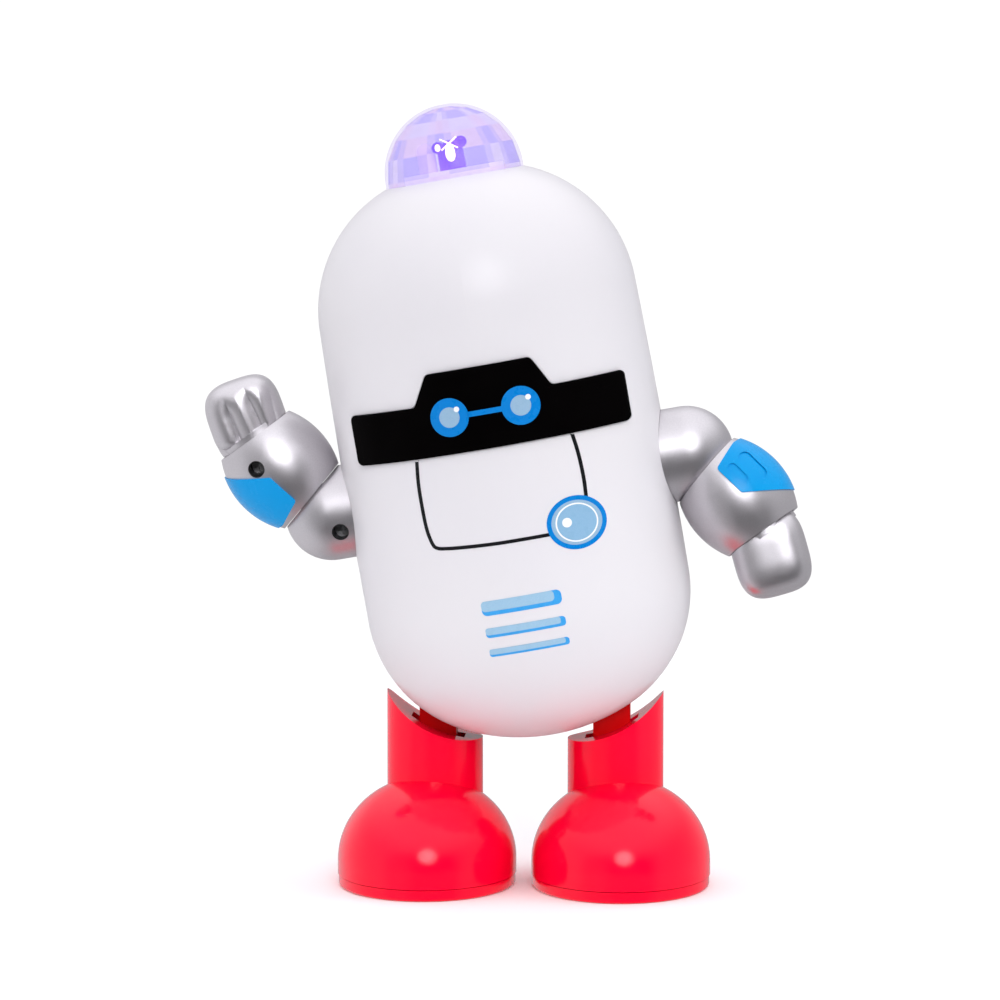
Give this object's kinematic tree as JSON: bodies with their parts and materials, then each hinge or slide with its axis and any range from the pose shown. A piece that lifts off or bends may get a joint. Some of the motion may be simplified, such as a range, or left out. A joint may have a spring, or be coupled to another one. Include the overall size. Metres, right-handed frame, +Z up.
{
  "type": "toy robot",
  "caption": "Capsule-bodied dancing toy robot on two boots, with turning jointed arms, a light dome on top and a battery drive that sways the body.",
  "frame": {"origin": "on the floor under the middle of the robot's overall box", "axes": "+Z up, the robot faces -Y, +X towards the arm that hangs"},
  "size_m": [0.165, 0.0894, 0.2111],
  "materials": {
    "white_body": "glossy",
    "black_visor": "glossy",
    "clear_dome": "clear",
    "lamp_white": "satin",
    "violet_lamp": "clear",
    "clear_lamp": "clear",
    "silver_paint": "satin metallic paint on plastic",
    "blue_panel": "glossy",
    "red_boot": "glossy",
    "red_leg": "satin",
    "steel": "zinc plated",
    "black_plastic": "moulded",
    "grey_plastic": "moulded",
    "gear_plastic": "acetal",
    "board_green": "solder mask",
    "cell_wrap": "printed wrap",
    "spring_steel": "nickel plated"
  },
  "bodies": {
    "legs": {"swing_yoke": "red_leg", "leg_left": "red_leg", "leg_right": "red_leg", "leg_screws": "steel"},
    "torso": {"front_body_shell": "white_body", "rear_body_shell": "white_body", "face_visor": "black_visor", "dome_lens": "clear_dome", "lamp_reflector": "lamp_white", "led_board": "board_green", "violet_led": "violet_lamp", "clear_led": "clear_lamp", "body_screws": "steel", "battery_box": "black_plastic", "battery_cells": "cell_wrap", "battery_contacts": "spring_steel", "power_switch_body": "black_plastic", "speaker": "black_plastic", "speaker_cradle": "white_body", "main_circuit_board": "board_green", "gearbox_front": "grey_plastic", "gearbox_back": "grey_plastic", "gearbox_screws": "steel", "motor": "steel", "gear_axles": "steel", "sway_pin": "steel"},
    "battery_door": {"battery_door": "white_body", "battery_door_screw": "steel"},
    "switch_knob": {"power_switch_knob": "black_plastic"},
    "crank": {"crank_gear": "gear_plastic", "crank_shaft": "steel", "crank_disc": "gear_plastic"},
    "second_gear": {"second_gear": "gear_plastic"},
    "first_gear": {"first_gear": "gear_plastic"},
    "motor_rotor": {"motor_shaft": "steel", "motor_pinion": "gear_plastic"},
    "boot_left": {"boot_left": "red_boot", "sole_left": "red_boot", "ankle_pin_left": "steel", "sole_screws_left": "steel"},
    "upper_arm_left": {"upper_arm_front_left": "silver_paint", "upper_arm_back_left": "silver_paint", "upper_arm_screw_left": "steel"},
    "forearm_left": {"forearm_front_left": "silver_paint", "forearm_back_left": "silver_paint", "forearm_panel_left": "blue_panel", "forearm_screw_left": "steel"},
    "fist_left": {"fist_left": "silver_paint"},
    "boot_right": {"boot_right": "red_boot", "sole_right": "red_boot", "ankle_pin_right": "steel", "sole_screws_right": "steel"},
    "upper_arm_right": {"upper_arm_front_right": "silver_paint", "upper_arm_back_right": "silver_paint", "upper_arm_screw_right": "steel"},
    "forearm_right": {"forearm_front_right": "silver_paint", "forearm_back_right": "silver_paint", "forearm_panel_right": "blue_panel", "forearm_screw_right": "steel"},
    "fist_right": {"fist_right": "silver_paint"}
  },
  "joints": [
    {"name": "body_sway", "type": "hinge", "parent": "legs", "child": "torso", "pos_m": [0.00475, 0, 0.0831], "axis": [0, 1, 0], "range_deg": [0, 20]},
    {"name": "ankle_left", "type": "hinge", "parent": "legs", "child": "boot_left", "pos_m": [-0.01885, 0, 0.0206], "axis": [0, 1, 0], "range_deg": [-4, 4]},
    {"name": "ankle_right", "type": "hinge", "parent": "legs", "child": "boot_right", "pos_m": [0.02835, 0, 0.0206], "axis": [0, 1, 0], "range_deg": [-4, 4]},
    {"name": "shoulder_left", "type": "hinge", "parent": "torso", "child": "upper_arm_left", "pos_m": [-0.04011, 0, 0.10139], "axis": [0.9848, 0, 0.1736], "continuous": true},
    {"name": "elbow_left", "type": "hinge", "parent": "upper_arm_left", "child": "forearm_left", "pos_m": [-0.05337, -0.00019, 0.10463], "axis": [-0.772, -0.0265, 0.6351], "continuous": true},
    {"name": "wrist_left", "type": "hinge", "parent": "forearm_left", "child": "fist_left", "pos_m": [-0.0686, -0.00086, 0.12133], "axis": [-0.5884, -0.0314, 0.8079], "continuous": true},
    {"name": "shoulder_right", "type": "hinge", "parent": "torso", "child": "upper_arm_right", "pos_m": [0.04065, 0, 0.11563], "axis": [0.9848, 0, 0.1736], "continuous": true},
    {"name": "elbow_right", "type": "hinge", "parent": "upper_arm_right", "child": "forearm_right", "pos_m": [0.0539, -0.00077, 0.11243], "axis": [0.7708, -0.1058, -0.6283], "continuous": true},
    {"name": "wrist_right", "type": "hinge", "parent": "forearm_right", "child": "fist_right", "pos_m": [0.0691, -0.00342, 0.09591], "axis": [0.587, -0.125, -0.7999], "continuous": true},
    {"name": "battery_door_lift", "type": "slide", "parent": "torso", "child": "battery_door", "axis": [0, 1, 0], "range_m": [0, 0.02]},
    {"name": "power_switch_slide", "type": "slide", "parent": "torso", "child": "switch_knob", "axis": [0.9848, 0, 0.1736], "range_m": [0, 0.003]},
    {"name": "crank_spin", "type": "hinge", "parent": "torso", "child": "crank", "pos_m": [-0.00025, 0, 0.11146], "axis": [0, 1, 0], "continuous": true},
    {"name": "second_gear_spin", "type": "hinge", "parent": "torso", "child": "second_gear", "pos_m": [0.00653, 0, 0.12484], "axis": [0, 1, 0], "continuous": true},
    {"name": "first_gear_spin", "type": "hinge", "parent": "torso", "child": "first_gear", "pos_m": [-0.00685, 0, 0.13162], "axis": [0, 1, 0], "continuous": true},
    {"name": "motor_spin", "type": "hinge", "parent": "torso", "child": "motor_rotor", "pos_m": [-0.02023, 0, 0.1384], "axis": [0, 1, 0], "continuous": true}
  ],
  "couplings": [
    {"joint": "second_gear_spin", "follows": "crank_spin", "ratio": -4},
    {"joint": "first_gear_spin", "follows": "crank_spin", "ratio": 16},
    {"joint": "motor_spin", "follows": "crank_spin", "ratio": -64}
  ]
}
